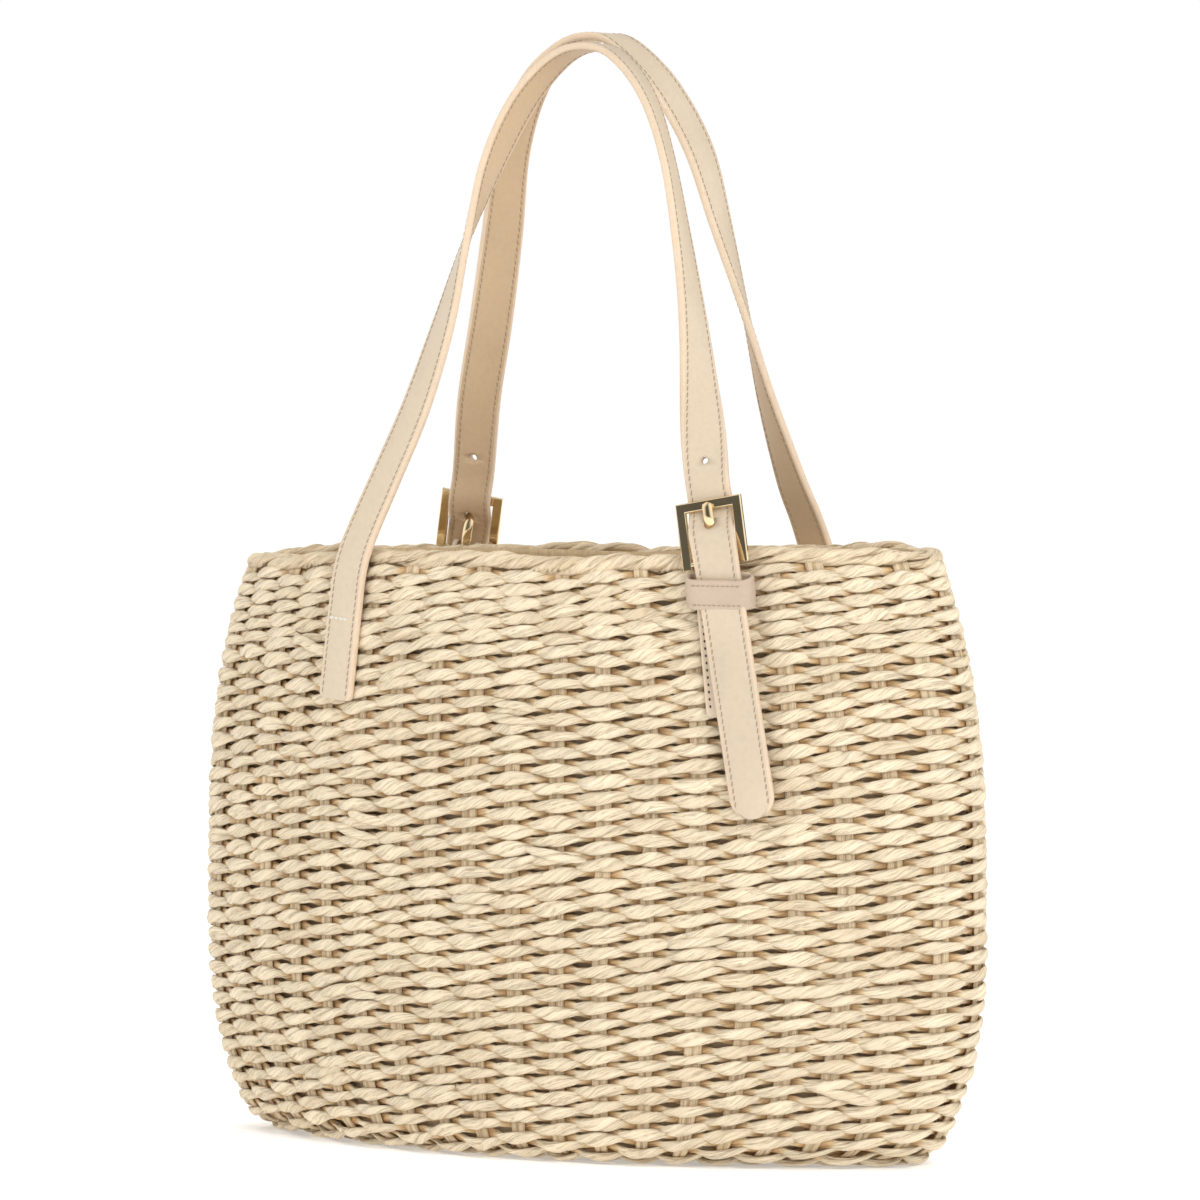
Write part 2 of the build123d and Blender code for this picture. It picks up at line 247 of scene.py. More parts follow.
# The tab's flat part (y, z) in the tail's own directions
TAB_ROUTE = [(-2.4, -6.4), (-1.5, -12), (-1.5, -26), (-2.2, -45), (-3.0, -TAB_LENGTH)]


# ---- meshes

def unit(vectors):
    return vectors / np.linalg.norm(vectors, axis=-1, keepdims=True)


def add_mesh(name, points, faces, materials, face_material=None, smooth=True):
    """A mesh object from points in millimetres."""
    mesh = bpy.data.meshes.new(name)
    mesh.from_pydata((np.asarray(points, float) * MM).tolist(), [], [list(face) for face in faces])
    for material in materials:
        mesh.materials.append(material)
    if face_material is not None:
        mesh.polygons.foreach_set("material_index", np.asarray(face_material, np.int32))
    mesh.polygons.foreach_set("use_smooth", np.full(len(mesh.polygons), smooth))
    mesh.update()
    piece = bpy.data.objects.new(name, mesh)
    bpy.context.scene.collection.objects.link(piece)
    return piece


def add_attribute(piece, name, values):
    """A value or a vector at each point, which the materials read."""
    values = np.asarray(values, np.float32)
    kind, key = ("FLOAT_VECTOR", "vector") if values.ndim > 1 else ("FLOAT", "value")
    attribute = piece.data.attributes.new(name, kind, "POINT")
    attribute.data.foreach_set(key, values.ravel())


def grid_faces(rows, columns, close_rows, close_columns, first=0):
    """Quads of a grid of points; a closed direction joins its end to its start."""
    row = np.arange(rows if close_rows else rows - 1)[:, None]
    column = np.arange(columns if close_columns else columns - 1)[None, :]
    next_row = (row + 1) % rows
    next_column = (column + 1) % columns
    corners = [row * columns + column, next_row * columns + column,
               next_row * columns + next_column, row * columns + next_column]
    return np.stack(np.broadcast_arrays(*corners), -1).reshape(-1, 4) + first


def tube_faces(rings, sides, first=0):
    """Quads of an open tube with flat ends."""
    faces = grid_faces(rings, sides, False, True, first).tolist()
    faces.append([first + side for side in range(sides)])
    faces.append([first + (rings - 1) * sides + side for side in reversed(range(sides))])
    return faces


def smooth_curve(knots, steps):
    """Rows of numbers on a smooth curve that passes through every knot."""
    knots = np.asarray(knots, float)
    padded = np.vstack([knots[:1], knots, knots[-1:]])
    rows = []
    for index in range(len(knots) - 1):
        before, start, end, after = padded[index:index + 4]
        for t in np.arange(steps) / steps:
            rows.append(start * (2 - 5 * t**2 + 3 * t**3) / 2 + end * (t + 4 * t**2 - 3 * t**3) / 2
                        + before * (-t + 2 * t**2 - t**3) / 2 + after * (t**3 - t**2) / 2)
    rows.append(knots[-1])
    return np.array(rows)


def lengths_along(points):
    """Distance along a curve from its first point to each point."""
    return np.concatenate([[0], np.cumsum(np.linalg.norm(np.diff(points, axis=0), axis=1))])


def rows_at(wanted, length, rows):
    """Rows read off a curve at the distances wanted, between the distances of its own rows."""
    return np.stack([np.interp(wanted, length, rows[:, k]) for k in range(rows.shape[1])], -1)


def even_spacing(rows, spacing):
    """The same curve with its rows an even distance apart."""
    length = lengths_along(rows[:, :3])
    count = max(int(round(length[-1] / spacing)), 2)
    return rows_at(np.linspace(0, length[-1], count + 1), length, rows)


def quarter_arc(x, y, radius, start, steps):
    """Points on a quarter of a circle, anticlockwise from an angle in degrees."""
    angles = np.radians(np.linspace(start, start + 90, steps))
    return [(x + radius * math.cos(angle), y + radius * math.sin(angle)) for angle in angles]


def around_noise(size, count, share):
    """Smooth random wobble round a closed ring, with one random value at each of count places."""
    values = rng.normal(0, size, count)
    position = np.mod(share, 1) * count
    return np.interp(position, np.arange(count + 1), np.append(values, values[0]))


# ---- bag form

def plan_point(half_width, half_depth, end_radius, share):
    """Point on the bag's plan at a share of its length, anticlockwise from the middle of the front."""
    centre = half_width - end_radius
    radius = (centre**2 + half_depth**2 - end_radius**2) / (2 * (half_depth - end_radius))
    turn = np.arcsin(centre / (radius - end_radius))
    face_length = radius * turn
    end_length = end_radius * (PI - 2 * turn)
    half_length = 2 * face_length + end_length
    along = (np.mod(share + 0.5, 1) - 0.5) * 2 * half_length
    distance = np.abs(along)
    front_angle = distance / radius
    end_angle = (distance - face_length) / end_radius - (PI / 2 - turn)
    back_angle = (half_length - distance) / radius
    on_front = distance <= face_length
    on_end = distance <= face_length + end_length
    x = np.where(on_front, radius * np.sin(front_angle),
                 np.where(on_end, centre + end_radius * np.cos(end_angle), radius * np.sin(back_angle)))
    y = np.where(on_front, radius - half_depth - radius * np.cos(front_angle),
                 np.where(on_end, end_radius * np.sin(end_angle),
                          radius * np.cos(back_angle) - radius + half_depth))
    return x * np.sign(along), y


def plan_sizes(z):
    """Half width and half depth of the bag at a height, without the rounded bottom edge."""
    above = np.clip((z - BELLY_HEIGHT) / (BODY_HEIGHT - BELLY_HEIGHT), 0, 1.1)
    below = np.clip((BELLY_HEIGHT - z) / BELLY_HEIGHT, 0, 1) ** FLOOR_CURVE
    half_width = BELLY_HALF_WIDTH - RIM_TAPER_WIDTH * above**WIDTH_CURVE - FLOOR_TAPER_WIDTH * below
    half_depth = BELLY_HALF_DEPTH - RIM_TAPER_DEPTH * above**DEPTH_CURVE - FLOOR_TAPER_DEPTH * below
    return half_width, half_depth


def inset_point(share, inset, z):
    """Point at a height, a distance inside the weave's outer surface."""
    half_width, half_depth = plan_sizes(z)
    end_radius = np.maximum(END_RADIUS - inset, SHARPEST_END)
    x, y = plan_point(half_width - inset, half_depth - inset, end_radius, share)
    places, rises = np.transpose(RIM_WAVE)
    fade = np.clip((z - WAVE_FOOT) / WAVE_HEIGHT, 0, 1.1) ** 2
    rise = np.interp(np.mod(share, 1), places, rises) * fade
    return np.stack(np.broadcast_arrays(x, y, z + rise), -1)


def profile():
    """The weave's middle from the base's seam, round the bottom edge and up the wall: inset and height."""
    rows = [(inset, BASE_MIDDLE) for inset in np.arange(BASE_SEAM_INSET, CORNER_RADIUS, -PROFILE_STEP)]
    corner = CORNER_RADIUS - WEAVE_MIDDLE
    for angle in np.linspace(0, PI / 2, 10):
        rows.append((CORNER_RADIUS - corner * math.sin(angle),
                     BASE_MIDDLE + corner * (1 - math.cos(angle))))
    rows += [(WEAVE_MIDDLE, z) for z in np.arange(BASE_MIDDLE + corner + 3, BODY_HEIGHT + 4, 4)]
    return np.array(rows)


PROFILE = profile()
PROFILE_LENGTH = lengths_along(PROFILE)
FLAT_POINTS = (BASE_SEAM_INSET - CORNER_RADIUS) // PROFILE_STEP
WALL_FOOT = float(np.interp(CORNER_RADIUS, PROFILE[FLAT_POINTS:, 1], PROFILE_LENGTH[FLAT_POINTS:]))


def length_at(z):
    """Distance along the profile to a height on the wall."""
    return WALL_FOOT + z - CORNER_RADIUS


def weave_point(share, length):
    """Point in the middle of the weave, with the slight drift of hand weaving."""
    turn = 2 * PI * share
    share = share + 0.0011 * np.sin(3 * turn + length / 37) + 0.0008 * np.sin(7 * turn - length / 23 + 1)
    length = length + 0.7 * np.sin(5 * turn + length / 31) + 0.5 * np.sin(11 * turn - length / 17 + 2)
    inset = np.interp(length, PROFILE_LENGTH, PROFILE[:, 0])
    z = np.interp(length, PROFILE_LENGTH, PROFILE[:, 1])
    return inset_point(share, inset, z)


def weave_frame(share, length):
    """Point in the weave with its directions along the row, up the wall and outwards."""
    point = weave_point(share, length)
    along = unit(weave_point(share + 0.0006, length) - weave_point(share - 0.0006, length))
    up = unit(weave_point(share, length + 0.6) - weave_point(share, length - 0.6))
    return point, along, up, unit(np.cross(along, up))


# ---- materials

def add_node(tree, kind, inputs=None, **settings):
    """A shader node; each input is a number, a colour or another node's output."""
    node = tree.nodes.new(kind)
    for name, value in settings.items():
        setattr(node, name, value)
    for name, value in (inputs or {}).items():
        if isinstance(value, bpy.types.NodeSocket):
            tree.links.new(value, node.inputs[name])
        else:
            node.inputs[name].default_value = value
    return node


def new_material(name, **values):
    material = bpy.data.materials.new(name)
    material.use_nodes = True
    tree = material.node_tree
    shader = tree.nodes["Principled BSDF"]
    for key, value in values.items():
        shader.inputs[key.replace("_", " ")].default_value = value
    return material, tree, shader


def ramp(tree, factor, *stops):
    """Colour ramp with (position, colour) stops."""
    node = add_node(tree, "ShaderNodeValToRGB", {"Fac": factor})
    elements = node.color_ramp.elements
    while len(elements) < len(stops):
        elements.new(0.5)
    for element, (position, colour) in zip(elements, stops):
        element.position = position
        element.color = (*colour, 1) if len(colour) == 3 else colour
    return node.outputs["Color"]


def noise(tree, vector, scale, detail=3, roughness=0.5):
    values = {"Vector": vector, "Scale": scale, "Detail": detail, "Roughness": roughness}
    return add_node(tree, "ShaderNodeTexNoise", values).outputs["Fac"]


def mix_colour(tree, kind, factor, first, second):
    """The first colour mixed with the second one."""
    return add_node(tree, "ShaderNodeMix", {0: factor, 6: first, 7: second},
                    data_type="RGBA", blend_type=kind).outputs[2]


def maths(tree, kind, first, second=0.0):
    return add_node(tree, "ShaderNodeMath", {0: first, 1: second}, operation=kind).outputs[0]


def bump(tree, shader, height, distance, strength=1.0):
    values = {"Height": height, "Distance": distance * MM, "Strength": strength}
    tree.links.new(add_node(tree, "ShaderNodeBump", values).outputs["Normal"], shader.inputs["Normal"])


def object_place(tree):
    return add_node(tree, "ShaderNodeTexCoord").outputs["Object"]


def read_attribute(tree, name, output="Fac"):
    return add_node(tree, "ShaderNodeAttribute", attribute_name=name).outputs[output]


def darkened(tree, base, factor, *stops):
    """The base colour multiplied by a ramp."""
    return mix_colour(tree, "MULTIPLY", 1.0, base, ramp(tree, factor, *stops))


def grey(value):
    return (value, value, value)


STRAW_LIGHT = (0.94, 0.82, 0.63)
STRAW = (0.89, 0.755, 0.54)
STRAW_SHADE = (0.76, 0.585, 0.365)
# Painted shade: the dark brown put into the paper's creases, its ply grooves and the lines where
# neighbouring cords meet.
STRAW_CREASE_SHADE = (0.30, 0.17, 0.07, 1)
# Painted shade of the machine stitch holes in the border.
STRAW_HOLE_SHADE = (0.16, 0.08, 0.03, 1)


def straw_material(name, shade, stitch_line=False):
    """Twisted paper: lengthwise fibres and creases, with painted shade in the creases, in the grooves
    between plies, along each cord's top and bottom edges and where a cord dips behind a stake.
    """
    material, tree, shader = new_material(name, Roughness=0.62, Specular_IOR_Level=0.35)
    fibre = read_attribute(tree, "fibre", "Vector")
    groove, depth, tone = (read_attribute(tree, key) for key in ("groove", "depth", "tone"))
    streaks = noise(tree, fibre, 3.2, 4, 0.62)
    fine = noise(tree, fibre, 11, 3, 0.6)
    creases = noise(tree, fibre, 1.9, 2, 0.4)
    base = ramp(tree, streaks, (0.28, STRAW_SHADE), (0.45, STRAW), (0.68, STRAW_LIGHT))
    base = darkened(tree, base, fine, (0.3, grey(0.91)), (0.6, grey(1.0)))
    # Painted shade in the paper's creases, along thin noise lines.
    line = ramp(tree, creases, (0.465, grey(0)), (0.5, grey(1)), (0.535, grey(0)))
    base = mix_colour(tree, "MIX", maths(tree, "MULTIPLY", line, 0.42), base, STRAW_CREASE_SHADE)
    # Painted shade in the grooves between the plies and along each cord's top and bottom edges, where it
    # meets its neighbours.
    groove_shade = ramp(tree, groove, (0.0, grey(0.9)), (0.14, grey(0.35)), (0.3, grey(0)))
    base = mix_colour(tree, "MIX", maths(tree, "MULTIPLY", groove_shade, 0.6), base, STRAW_CREASE_SHADE)
    base = darkened(tree, base, tone, (0.0, (0.90, 0.87, 0.82)), (0.5, grey(1.0)), (1.0, (1.05, 1.05, 1.04)))
    # Painted shade: darker and browner where the depth is low, that is where a cord passes behind a stake.
    base = darkened(tree, base, depth, (0.0, (0.74 * shade, 0.52 * shade, 0.31 * shade)),
                    (0.6, (0.94 * shade, 0.84 * shade, 0.70 * shade)), (0.85, grey(shade)))
    height = maths(tree, "ADD", streaks, maths(tree, "MULTIPLY", fine, 0.35))
    height = maths(tree, "SUBTRACT", height, maths(tree, "MULTIPLY", line, 0.5))
    if stitch_line:
        # Painted shade of the machine stitch holes, where the stitch value is high.
        holes = read_attribute(tree, "stitch")
        base = mix_colour(tree, "MIX", holes, base, STRAW_HOLE_SHADE)
        height = maths(tree, "SUBTRACT", height, maths(tree, "MULTIPLY", holes, 1.5))
    bump(tree, shader, height, 0.6, 0.8)
    tree.links.new(base, shader.inputs["Base Color"])
    return material


def leather_material(name, colour, roughness, grain=1.0):
    """Smooth coated leather with fine pores, faint creases with painted shade in them, and slight wear."""
    material, tree, shader = new_material(name, Roughness=roughness, Specular_IOR_Level=0.4)
    place = object_place(tree)
    clouds = noise(tree, place, 14, 4)
    pores = add_node(tree, "ShaderNodeTexVoronoi", {"Vector": place, "Scale": 1500.0}).outputs["Distance"]
    creases = noise(tree, place, 420, 4, 0.65)
    dark = tuple(0.90 * c for c in colour)
    light = tuple(min(1.05 * c, 1) for c in colour)
    base = ramp(tree, clouds, (0.3, dark), (0.5, colour), (0.72, light))
    # Faint darkening along the creases: painted shade.
    base = darkened(tree, base, creases, (0.3, grey(0.94)), (0.6, grey(1.0)))
    tree.links.new(base, shader.inputs["Base Color"])
    tree.links.new(ramp(tree, clouds, (0.3, grey(roughness + 0.08)), (0.7, grey(roughness - 0.06))),
                   shader.inputs["Roughness"])
    height = maths(tree, "ADD", maths(tree, "MULTIPLY", pores, 0.5), creases)
    bump(tree, shader, height, 0.11 * grain, 0.5)
    return material


def thread_material(name, colour):
    material, tree, shader = new_material(name, Roughness=0.7, Sheen_Weight=0.2)
    place = object_place(tree)
    ply = add_node(tree, "ShaderNodeTexWave", {"Vector": place, "Scale": 900.0, "Distortion": 1.0},
                   bands_direction="DIAGONAL").outputs["Fac"]
    # Darker bands along the twist: painted shade between the thread's plies.
    tree.links.new(ramp(tree, ply, (0.2, tuple(0.75 * c for c in colour)), (0.7, colour)),
                   shader.inputs["Base Color"])
    bump(tree, shader, ply, 0.1, 0.5)
    return material


def fabric_material(name, dark, light, ribs):
    """Plain cotton, or ribbed tape whose ribs run upwards; "weft" gives millimetres along and up."""
    material, tree, shader = new_material(name, Roughness=0.85, Sheen_Weight=0.25)
    weft = read_attribute(tree, "weft", "Vector")
    parts = add_node(tree, "ShaderNodeSeparateXYZ", {0: weft})
    across, up = (maths(tree, "SINE", maths(tree, "MULTIPLY", parts.outputs[k], 2 * PI / pitch))
                  for k, pitch in ((0, 1.5 if ribs else 0.9), (1, 0.45 if ribs else 0.9)))
    if ribs:
        height = maths(tree, "ADD", across, maths(tree, "MULTIPLY", up, 0.25))
    else:
        height = maths(tree, "MULTIPLY", across, up)
    slubs = noise(tree, weft, 0.35, 4, 0.6)
    base = ramp(tree, slubs, (0.3, dark), (0.65, light))
    shade = ramp(tree, maths(tree, "MULTIPLY_ADD", height, 0.25), (0.0, grey(0.8)), (0.4, grey(1.0)))
    base = mix_colour(tree, "MULTIPLY", 0.8, base, shade)
    tree.links.new(base, shader.inputs["Base Color"])
    bump(tree, shader, maths(tree, "ADD", height, maths(tree, "MULTIPLY", slubs, 1.5)), 0.16, 0.7)
    return material


def gold_material():
    """Polished pale gold plating with faint hairlines and cloudy changes in its colour."""
    material, tree, shader = new_material("gold_metal", Metallic=1.0, Roughness=0.1)
    place = object_place(tree)
    clouds = noise(tree, place, 60, 4)
    hairlines = noise(tree, add_node(tree, "ShaderNodeMapping", {"Vector": place, "Scale": (40, 40, 900)})
                      .outputs["Vector"], 3, 3)
    tree.links.new(ramp(tree, clouds, (0.3, (0.80, 0.62, 0.36)), (0.7, (0.93, 0.78, 0.52))),
                   shader.inputs["Base Color"])
    tree.links.new(ramp(tree, hairlines, (0.3, grey(0.05)), (0.7, grey(0.12))), shader.inputs["Roughness"])
    return material


straw = straw_material("paper_cord", 1.06)
stake_straw = straw_material("paper_stake", 0.95)
border_straw = straw_material("paper_border", 1.04, stitch_line=True)
leather = leather_material("strap_leather", (0.65, 0.535, 0.392), 0.42)
backing = leather_material("backing_leather", (0.60, 0.435, 0.27), 0.5, 1.6)
edge_paint = leather_material("edge_paint", (0.74, 0.58, 0.42), 0.35, 0.3)
keeper_leather = leather_material("keeper_leather", (0.55, 0.43, 0.325), 0.45)
thread = thread_material("strap_thread", (0.44, 0.32, 0.22))
white_thread = thread_material("cross_thread", (0.85, 0.80, 0.70))
# Near-black, for the tab's stitch holes: painted shade.
hole_shade = thread_material("stitch_hole_shade", (0.06, 0.035, 0.02))
lining_cloth = fabric_material("lining_fabric", (0.66, 0.50, 0.31), (0.78, 0.62, 0.42), False)
tape_cloth = fabric_material("tape_fabric", (0.60, 0.44, 0.25), (0.74, 0.57, 0.35), True)
gold = gold_material()


# ---- weave

def cord_section(sides, twist, flatness):
    """Outline of a two-ply paper cord: each side's angle, as it lies and in the twist, its size and
    how near it is to a ply's top."""
    angle = 2 * PI * np.arange(sides) / sides
    ply_angle = angle[None, :] - twist[:, None]
    lobe = np.abs(np.cos(ply_angle))
    return angle, ply_angle, 1 - flatness + flatness * lobe**0.7, lobe


def cord_points(middle, across, upward, half_across, half_up, section):
    """Points of a cord whose outline lies in the plane of two directions."""
    angle, _, size, _ = section
    sideways = across[:, None, :] * (np.cos(angle)[None, :] * size * half_across[:, None])[..., None]
    vertical = upward[:, None, :] * (np.sin(angle)[None, :] * size * half_up[:, None])[..., None]
    return middle[:, None, :] + sideways + vertical


def cord_look(section, along, depth, tone):
    """What the straw material reads at each point of a cord."""
    angle, ply_angle, _, lobe = section
    # beside falls to 0 at the cord's top and bottom, so the groove value there also carries the painted
    # shade between neighbouring cords.
    beside = np.clip(6 * (1 - np.abs(np.sin(angle))), 0, 1)[None, :]
    along = np.broadcast_to(along[:, None], ply_angle.shape)
    fibre = np.stack([1.7 * np.cos(ply_angle), 1.7 * np.sin(ply_angle), along / 36], -1)
    depth = np.broadcast_to(depth[:, None], ply_angle.shape)
    tone = np.broadcast_to(tone[:, None], ply_angle.shape)
    return {"fibre": fibre.reshape(-1, 3), "groove": (lobe * beside).ravel(), "depth": depth.ravel(),
            "tone": tone.ravel()}


def cord_piece(name, points, faces, looks, material):
    """Several cords as one mesh, with what their material reads at each point."""
    piece = add_mesh(name, np.vstack(points), faces, [material])
    for key in looks[0]:
        add_attribute(piece, key, np.concatenate([look[key] for look in looks]))
    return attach(piece, BAG)


def woven_row(number, length, samples, sides):
    """One cord woven in front of every second stake all round the bag, with what its material reads."""
    count = STAKES * samples
    share = np.arange(count) / count + (JOINT_STEP * number + 1) / STAKES
    phase = PI * (share * STAKES + number)
    front = np.cos(phase)
    front = np.sign(front) * np.abs(front) ** 0.8
    lift = around_noise(0.38, STAKES, share) + CORD_CLIMB * np.sin(phase)
    fullness = 1 + around_noise(0.1, STAKES, share)
    point, along, up, outward = weave_frame(share, length + lift)
    middle = point + outward * (CORD_SWING * front + around_noise(0.2, STAKES, share))[:, None]
    swell = np.abs(front) ** 1.15
    half_up = (CORD_HALF_HEIGHT + CORD_SWELL * swell) * fullness
    half_out = (CORD_HALF_THICKNESS - CORD_FLATTENING * swell) * fullness
    perimeter = STAKE_SPACING * STAKES
    twist = 2 * PI * share * round(perimeter / CORD_TWIST) + 2.5 * rng.random()
    twist = twist + around_noise(0.8, STAKES, share)
    section = cord_section(sides, twist, 0.36)
    points = cord_points(middle, outward, up, half_out, half_up, section)
    tone = np.clip(0.5 + around_noise(0.22, STAKES, share), 0, 1)
    # The depth falls from 1 in front of a stake to 0 behind one; the straw material paints shade from it.
    look = cord_look(section, share * perimeter + 97 * number, np.clip(0.9 + front, 0, 1), tone)
    return points.reshape(-1, 3), look


def row_lengths():
    """Distance along the profile of every row, from the rim down and across the base."""
    lengths = [length_at(TOP_ROW_Z)]
    while lengths[-1] > LAST_ROW:
        if len(lengths) <= TIGHT_ROWS:
            pitch = TIGHT_PITCH
        elif lengths[-1] > WALL_FOOT:
            pitch = ROW_PITCH
        else:
            pitch = BASE_PITCH
        lengths.append(lengths[-1] - pitch)
    return lengths


def woven_piece(name, rows, samples, sides):
    """Several rows as one mesh, with a number of samples for each stake."""
    points, looks, faces = [], [], []
    for number, length in rows:
        row_points, look = woven_row(number, length, samples, sides)
        faces.append(grid_faces(STAKES * samples, sides, True, True, sum(len(part) for part in points)))
        points.append(row_points)
        looks.append(look)
    return cord_piece(name, points, np.vstack(faces), looks, straw)


def weave():
    """The wall's rows, a few to a piece, and the base's rows."""
    rows = list(enumerate(row_lengths()))
    wall_rows = [row for row in rows if row[1] > WALL_FOOT - BASE_EDGE]
    base_rows = rows[len(wall_rows):]
    for start in range(0, len(wall_rows), ROWS_PER_PIECE):
        name = f"woven_rows_{start // ROWS_PER_PIECE + 1}"
        piece = woven_piece(name, wall_rows[start:start + ROWS_PER_PIECE], 10, CORD_SIDES)
        if start == 0:
            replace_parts(piece, "woven_wall")
    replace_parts(woven_piece("woven_base_rows", base_rows, 6, 8), "woven_base")


def stakes():
    """Upright pairs of paper cords that the rows pass in front of and behind."""
    lengths = np.linspace(8, length_at(BORDER_Z - 1), STAKE_STEPS)
    even = np.ones(STAKE_STEPS)
    points, looks, faces = [], [], []
    for number in range(STAKES):
        point, along, up, outward = weave_frame(even * number / STAKES, lengths)
        section = cord_section(CORD_SIDES, 0 * even, 0.38)
        half_wide = np.interp(lengths, STAKE_WIDENING, STAKE_HALF_WIDTHS) * (1 + rng.normal(0, 0.08))
        ring = cord_points(point, along, outward, half_wide, even * STAKE_HALF_THICKNESS, section)
        faces += tube_faces(STAKE_STEPS, CORD_SIDES, CORD_SIDES * STAKE_STEPS * number)
        points.append(ring.reshape(-1, 3))
        looks.append(cord_look(section, lengths + 300 * number, even * 0.7, even * rng.random()))
    cord_piece("stakes", points, faces, looks, stake_straw)


def splices():
    """Short cord ends laid over the weave where a new length of paper was worked in."""
    points, looks, faces = [], [], []
    steps = np.linspace(0, 1, SPLICE_STEPS)
    even = np.ones(SPLICE_STEPS)
    for number in range(SPLICES):
        start = rng.choice([0, 0.5]) + rng.uniform(-0.19, 0.19)
        share = start + (steps - 0.5) * rng.uniform(1.1, 1.5) / STAKES
        rise = rng.choice([-1, 1, 1]) * rng.uniform(1.0, 3.4)
        length = length_at(rng.uniform(25, 232)) + rise * (steps - 0.5) * 2
        point, along, up, outward = weave_frame(share, length)
        bow = np.sin(PI * steps) ** 0.6
        middle = point + outward * (0.2 + rng.uniform(3.1, 3.7) * bow)[:, None]
        section = cord_section(CORD_SIDES, 5.5 * steps + rng.uniform(0, PI), 0.3)
        half_up = 0.9 + rng.uniform(1.3, 1.9) * bow
        ring = cord_points(middle, outward, up, 0.5 + 0.8 * bow, half_up, section)
        faces += tube_faces(SPLICE_STEPS, CORD_SIDES, number * CORD_SIDES * SPLICE_STEPS)
        points.append(ring.reshape(-1, 3))
        looks.append(cord_look(section, 30 * steps + 60 * number, even, even * rng.uniform(0.3, 1)))
    cord_piece("paper_splices", points, faces, looks, straw)


def rim_border():
    """Rolled border: flattened strands that climb round the rim, machine-stitched in places, the stitch
    holes being painted shade.
    """
    share = np.arange(BORDER_STEPS) / BORDER_STEPS + BORDER_START
    even = np.ones(BORDER_STEPS)
    perimeter = RIM_STAKE_SPACING * STAKES
    turns = round(perimeter / BORDER_TURN)
    point, along, up, outward = weave_frame(share, even * length_at(BORDER_Z))
    hole_gap = np.clip(np.sin(share * 2 * PI * round(perimeter / HOLE_PITCH)) * 2, 0, 1)
    points, looks, faces = [], [], []
    for strand in range(BORDER_STRANDS):
        turn = 2 * PI * (turns * share + strand / BORDER_STRANDS) + around_noise(0.42, 34, share)
        reach = BORDER_REACH + around_noise(0.5, 46, share)
        away = outward * np.cos(turn)[:, None] + up * np.sin(turn)[:, None]
        round_dir = up * np.cos(turn)[:, None] - outward * np.sin(turn)[:, None]
        lift = around_noise(0.75, 45, share)
        middle = point - outward * BORDER_INSET + away * reach[:, None] + up * lift[:, None]
        twist = 2 * PI * share * round(perimeter / BORDER_TWIST) + around_noise(1.0, 34, share)
        section = cord_section(CORD_SIDES, twist, 0.26)
        swell = (0.5 + 0.5 * np.cos(turn - 0.5)) ** 0.8
        half_out = (1.4 + 0.4 * swell) * (1 + around_noise(0.1, 60, share))
        half_up = (1.2 + 1.9 * swell) * (1 + around_noise(0.16, 70, share))
        ring = cord_points(middle, away, round_dir, half_out, half_up, section)
        faces.append(grid_faces(BORDER_STEPS, CORD_SIDES, True, True, BORDER_STEPS * CORD_SIDES * strand))
        points.append(ring.reshape(-1, 3))
        tone = np.clip(0.55 + around_noise(0.25, 40, share), 0, 1)
        look = cord_look(section, share * perimeter + 2000 + 500 * strand, even * 0.78, tone)
        # The stitch holes are not cut: the border material darkens this row as their painted shade.
        hole_row = np.exp(-((ring[..., 2] - BORDER_Z + HOLE_ROW_DROP) / HOLE_ROW_HALF_HEIGHT) ** 2)
        shown = np.clip(0.4 + around_noise(0.6, 26, share), 0, 1)
        look["stitch"] = (hole_row * (hole_gap * shown)[:, None]).ravel()
        looks.append(look)
    piece = cord_piece("rim_border_strands", points, np.vstack(faces), looks, border_straw)
    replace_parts(piece, "rim_border")


# ---- lining

def cloth_band(name, material, insets, heights):
    """A closed band of cloth inside the bag; insets is one row of insets for each height."""
    share = np.arange(LINING_COLUMNS) / LINING_COLUMNS
    surfaces = [np.stack([inset_point(share, row + side, z) for row, z in zip(insets, heights)])
                for side in (0, LINING_THICKNESS)]
    points = np.vstack([surfaces[0], surfaces[1][::-1]])
    up_length = np.concatenate([heights, heights[::-1]])
    faces = grid_faces(len(points), LINING_COLUMNS, True, True)
    piece = add_mesh(name, points.reshape(-1, 3), faces, [material])
    around = lengths_along(points[len(heights) // 2])
    weft = np.stack(np.broadcast_arrays(around[None, :], up_length[:, None], 0.0), -1)
    add_attribute(piece, "weft", weft.reshape(-1, 3))
    return piece


